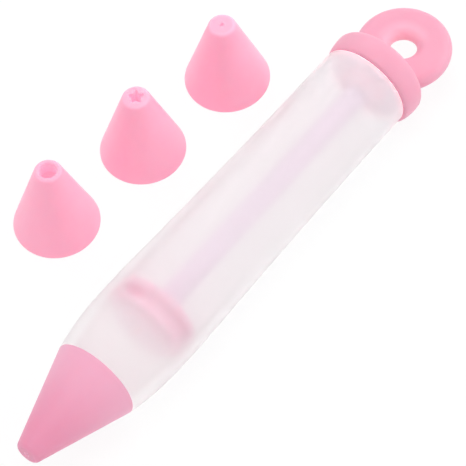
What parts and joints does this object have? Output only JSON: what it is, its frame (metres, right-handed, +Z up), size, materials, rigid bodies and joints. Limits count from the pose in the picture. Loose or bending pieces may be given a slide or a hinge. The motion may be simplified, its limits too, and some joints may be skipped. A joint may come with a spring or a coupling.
{
  "type": "cake decorating syringe",
  "caption": "Soft icing syringe: clear tapered barrel, ring-handled plunger with a lipped seal, fitted cone nozzle and spare cone nozzles standing beside it.",
  "frame": {"origin": "middle of the whole set on the surface that it lies on", "axes": "+X along the syringe from its tip to its ring, +Y towards the spare nozzles, +Z up"},
  "size_m": [0.1745, 0.0736, 0.029],
  "materials": {
    "pink_silicone": "satin silicone",
    "clear_silicone": "frosted translucent silicone",
    "rod_plastic": "satin"
  },
  "bodies": {
    "barrel": {"barrel": "clear_silicone"},
    "piston": {"piston_seal": "pink_silicone"},
    "plunger": {"push_rod": "rod_plastic", "ring_handle": "pink_silicone"},
    "fitted_nozzle": {"nozzle_fitted": "pink_silicone"},
    "fine_nozzle": {"nozzle_fine": "pink_silicone"},
    "star_nozzle": {"nozzle_star": "pink_silicone"},
    "round_nozzle": {"nozzle_round": "pink_silicone"}
  },
  "joints": [
    {"name": "plunger_slide", "type": "slide", "parent": "barrel", "child": "piston", "axis": [1, 0, 0], "range_m": [0, 0.102]},
    {"name": "plunger_spin", "type": "hinge", "parent": "piston", "child": "plunger", "pos_m": [0, -0.02227, 0.0145], "axis": [1, 0, 0], "continuous": true},
    {"name": "nozzle_pull", "type": "slide", "parent": "barrel", "child": "fitted_nozzle", "axis": [-1, 0, 0], "range_m": [0, 0.035]},
    {"name": "lift_fine", "type": "slide", "parent": "barrel", "child": "fine_nozzle", "axis": [0, 0, 1], "range_m": [0, 0.05]},
    {"name": "lift_star", "type": "slide", "parent": "barrel", "child": "star_nozzle", "axis": [0, 0, 1], "range_m": [0, 0.05]},
    {"name": "lift_round", "type": "slide", "parent": "barrel", "child": "round_nozzle", "axis": [0, 0, 1], "range_m": [0, 0.05]}
  ]
}
